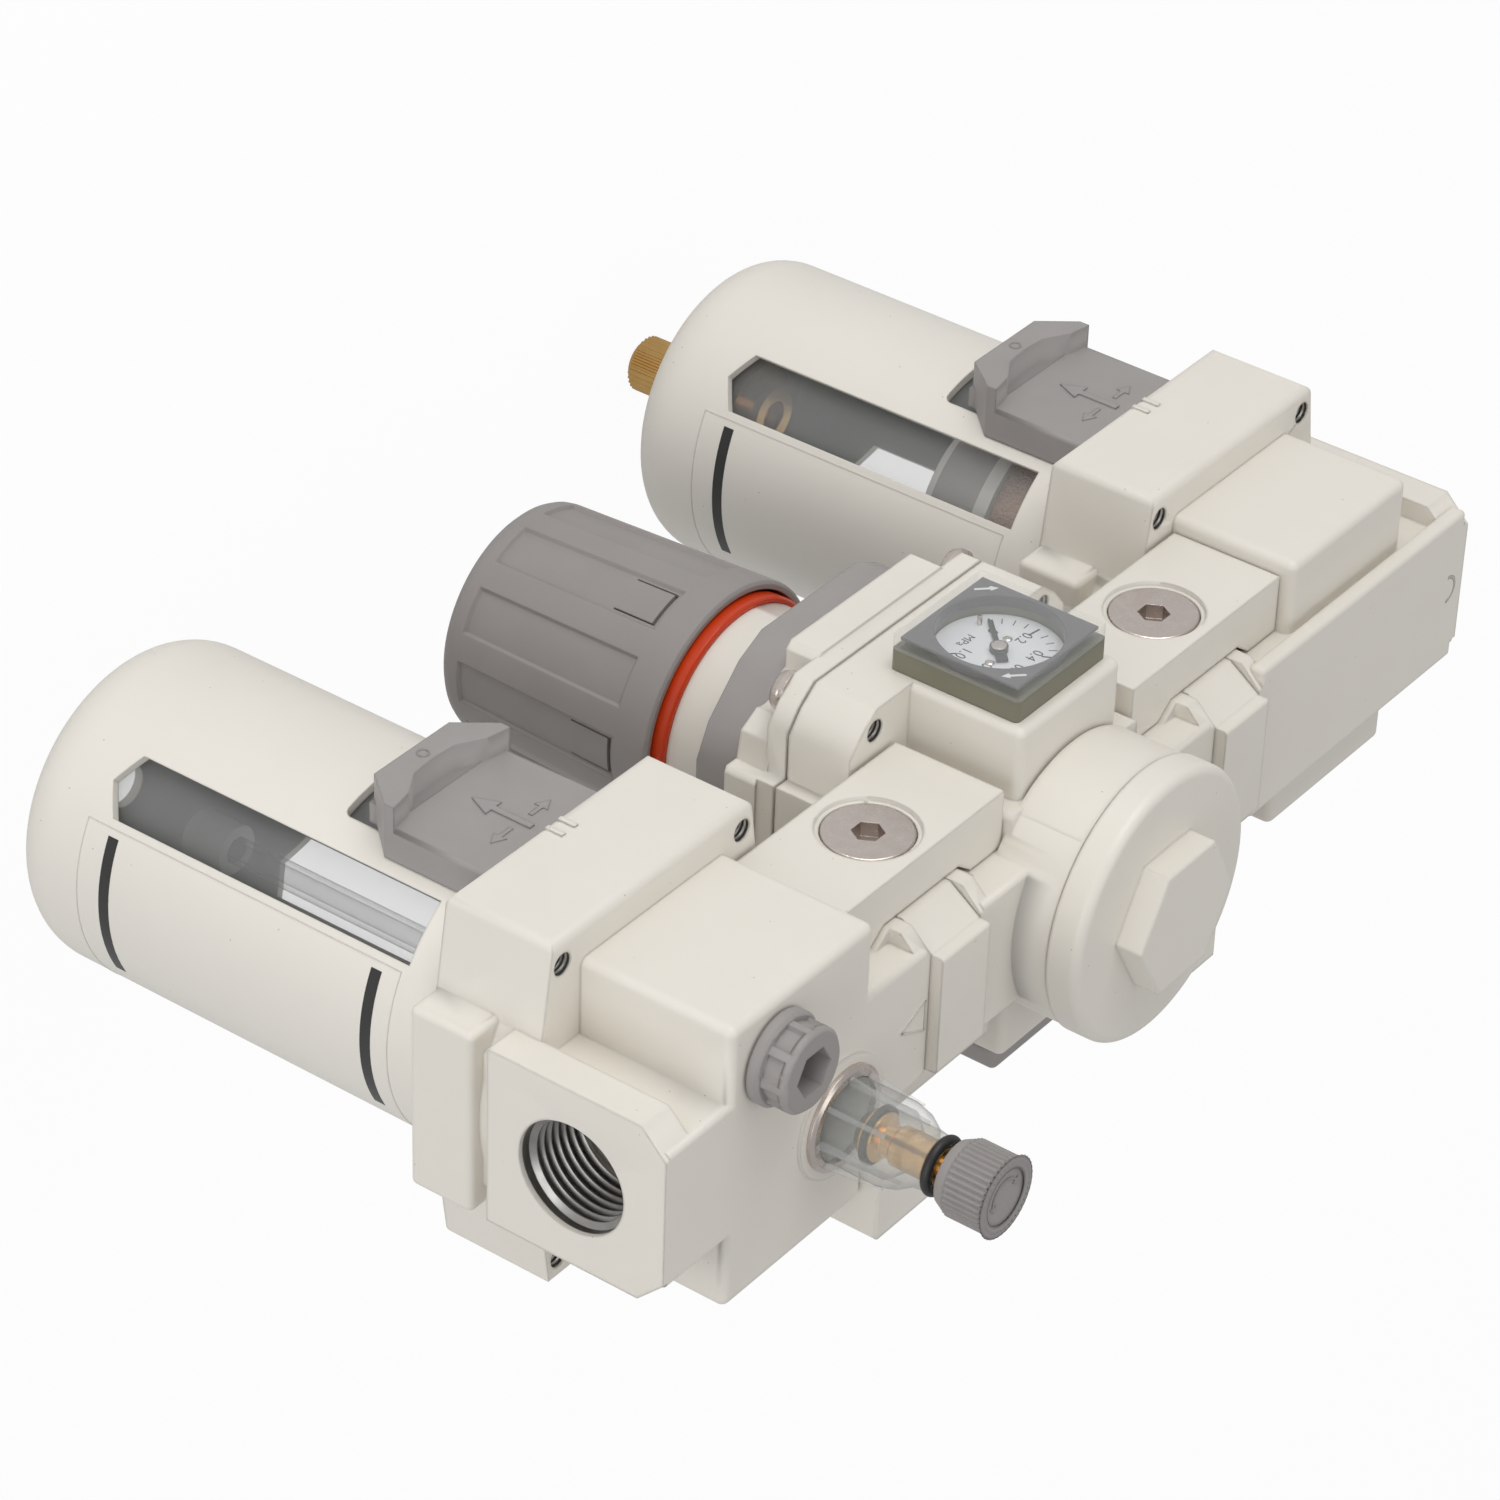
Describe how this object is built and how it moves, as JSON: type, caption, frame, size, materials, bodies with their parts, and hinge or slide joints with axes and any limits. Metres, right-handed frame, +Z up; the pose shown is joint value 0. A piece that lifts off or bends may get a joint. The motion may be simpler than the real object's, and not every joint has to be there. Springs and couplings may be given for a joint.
{
  "type": "filter regulator lubricator",
  "caption": "Modular compressed air filter, pressure regulator with gauge and oil lubricator, joined in line by clamps; bowls and knob hang below, threaded ports at both ends.",
  "frame": {"origin": "centre of the inlet port's mouth, on the axis of the air way", "axes": "+X along the air flow from inlet to outlet, +Z up away from the bowls, -Y the front, where the gauge is"},
  "size_m": [0.238, 0.0798, 0.1959],
  "materials": {
    "cream_paint": "light warm grey powder coat on die-cast aluminium, fine orange peel",
    "cream_guard": "light warm grey paint on steel sheet, satin",
    "cream_plastic": "light warm grey moulded nylon",
    "grey_plastic": "warm grey moulded plastic",
    "knob_plastic": "warm grey satin plastic",
    "orange_plastic": "glossy orange red plastic",
    "nickel_steel": "nickel plated steel",
    "brass": "machined brass",
    "clear_plastic": "clear polycarbonate",
    "black_rubber": "nitrile rubber",
    "sintered_bronze": "sintered bronze, grainy",
    "inner_plastic": "moulded acetal, grey beige",
    "spring_steel": "drawn spring wire",
    "turned_aluminium": "turned aluminium",
    "gauge_base_plastic": "dark olive plastic",
    "dial_paint": "white dial, printed scale",
    "gauge_mask_plastic": "dark grey print behind the clear cover",
    "black_paint": "black pointer"
  },
  "bodies": {
    "housing": {"filter_body": "cream_paint", "lubricator_body": "cream_paint", "regulator_body": "cream_paint", "bonnet": "cream_plastic", "filter_tie_bolt": "inner_plastic", "filter_element": "sintered_bronze", "filter_baffle": "inner_plastic", "filter_deflector": "inner_plastic", "bonnet_screws": "nickel_steel", "panel_ring": "grey_plastic", "orange_ring": "orange_plastic", "regulating_spring": "spring_steel", "diaphragm": "black_rubber", "valve_spring": "spring_steel", "valve_cap": "cream_paint", "valve_cap_seal": "black_rubber", "gauge_case": "gauge_base_plastic", "gauge_cover": "clear_plastic", "gauge_mask": "gauge_mask_plastic", "gauge_dial": "dial_paint", "blanking_cover": "grey_plastic", "filter_spacer": "cream_paint", "lubricator_spacer": "cream_paint", "spacer_seals": "black_rubber", "filter_clamp_front": "cream_paint", "filter_clamp_rear": "cream_paint", "lubricator_clamp_front": "cream_paint", "lubricator_clamp_rear": "cream_paint", "clamp_screws": "nickel_steel", "oil_tube": "clear_plastic", "oil_strainer": "inner_plastic", "flow_damper": "black_rubber", "sight_dome": "clear_plastic", "dome_ring": "nickel_steel", "needle_stem": "brass", "needle_seals": "black_rubber"},
    "setting_screw": {"adjusting_screw": "brass"},
    "pressure_knob": {"regulator_knob": "knob_plastic"},
    "range_nut": {"spring_nut": "brass"},
    "diaphragm_piston": {"diaphragm_plate": "turned_aluminium"},
    "air_valve": {"main_valve": "brass"},
    "pointer": {"gauge_pointer": "black_paint"},
    "filter_bowl_unit": {"filter_bowl_guard": "cream_guard", "filter_bowl": "clear_plastic", "filter_bowl_seal": "black_rubber", "filter_lock_spring": "spring_steel", "drain_fitting": "brass", "drain_seal": "black_rubber"},
    "filter_lock": {"filter_lock_button": "grey_plastic"},
    "drain_carrier": {"drain_screw_ring": "black_rubber"},
    "drain_screw": {"drain_knob": "brass"},
    "lubricator_bowl_unit": {"lubricator_bowl_guard": "cream_guard", "lubricator_bowl": "clear_plastic", "lubricator_bowl_seal": "black_rubber", "lubricator_lock_spring": "spring_steel"},
    "lubricator_lock": {"lubricator_lock_button": "grey_plastic"},
    "plug_carrier": {"fill_plug_seal": "black_rubber"},
    "oil_plug": {"fill_plug": "grey_plastic"},
    "needle_carrier": {"needle_washer": "black_rubber"},
    "needle_screw": {"needle_knob": "grey_plastic"}
  },
  "joints": [
    {"name": "knob_turn", "type": "hinge", "parent": "housing", "child": "setting_screw", "pos_m": [0.119, 0, -0.08], "axis": [0, 0, 1], "range_deg": [-360, 1440]},
    {"name": "knob_lock", "type": "slide", "parent": "setting_screw", "child": "pressure_knob", "axis": [0, 0, 1], "range_m": [0, 0.004]},
    {"name": "nut_lift", "type": "slide", "parent": "housing", "child": "range_nut", "axis": [0, 0, 1], "range_m": [-0.0015, 0.006], "deforming": ["regulating_spring"]},
    {"name": "diaphragm_lift", "type": "slide", "parent": "housing", "child": "diaphragm_piston", "axis": [0, 0, 1], "range_m": [0, 0.002], "deforming": ["diaphragm", "regulating_spring"]},
    {"name": "valve_lift", "type": "slide", "parent": "housing", "child": "air_valve", "axis": [0, 0, 1], "range_m": [0, 0.0021], "deforming": ["valve_spring"]},
    {"name": "pointer_turn", "type": "hinge", "parent": "housing", "child": "pointer", "pos_m": [0.119, -0.036, -0.0039], "axis": [0, -1, 0], "range_deg": [-270, 0]},
    {"name": "filter_bowl_twist", "type": "hinge", "parent": "housing", "child": "filter_bowl_unit", "pos_m": [0.035, 0, -0.07], "axis": [0, 0, 1], "range_deg": [0, 45]},
    {"name": "filter_lock_slide", "type": "slide", "parent": "filter_bowl_unit", "child": "filter_lock", "axis": [0, 0, -1], "range_m": [0, 0.0035], "stiffness_N_per_m": 400, "springref_m": -0.001, "deforming": ["filter_lock_spring"]},
    {"name": "drain_travel", "type": "slide", "parent": "filter_bowl_unit", "child": "drain_carrier", "axis": [0, 0, 1], "range_m": [-0.002, 0]},
    {"name": "drain_turn", "type": "hinge", "parent": "drain_carrier", "child": "drain_screw", "pos_m": [0.035, 0, -0.13], "axis": [0, 0, 1], "range_deg": [0, 576]},
    {"name": "lubricator_bowl_twist", "type": "hinge", "parent": "housing", "child": "lubricator_bowl_unit", "pos_m": [0.203, 0, -0.07], "axis": [0, 0, 1], "range_deg": [0, 45]},
    {"name": "lubricator_lock_slide", "type": "slide", "parent": "lubricator_bowl_unit", "child": "lubricator_lock", "axis": [0, 0, -1], "range_m": [0, 0.0035], "stiffness_N_per_m": 400, "springref_m": -0.001, "deforming": ["lubricator_lock_spring"]},
    {"name": "plug_travel", "type": "slide", "parent": "housing", "child": "plug_carrier", "axis": [0, 0, 1], "range_m": [0, 0.006]},
    {"name": "plug_turn", "type": "hinge", "parent": "plug_carrier", "child": "oil_plug", "pos_m": [0.2103, -0.0172, 0.02], "axis": [0, 0, 1], "range_deg": [0, 1440]},
    {"name": "needle_travel", "type": "slide", "parent": "housing", "child": "needle_carrier", "axis": [0, 0, 1], "range_m": [-0.00075, 0.00125]},
    {"name": "needle_turn", "type": "hinge", "parent": "needle_carrier", "child": "needle_screw", "pos_m": [0.1919, 0.0065, 0.045], "axis": [0, 0, 1], "range_deg": [-540, 900]}
  ],
  "couplings": [
    {"joint": "knob_turn", "follows": "nut_lift", "rad_per_m": 4188.8},
    {"joint": "valve_lift", "follows": "diaphragm_lift", "ratio": 1},
    {"joint": "drain_turn", "follows": "drain_travel", "rad_per_m": -5026.5},
    {"joint": "plug_turn", "follows": "plug_travel", "rad_per_m": 4188.8},
    {"joint": "needle_turn", "follows": "needle_travel", "rad_per_m": 12566}
  ]
}
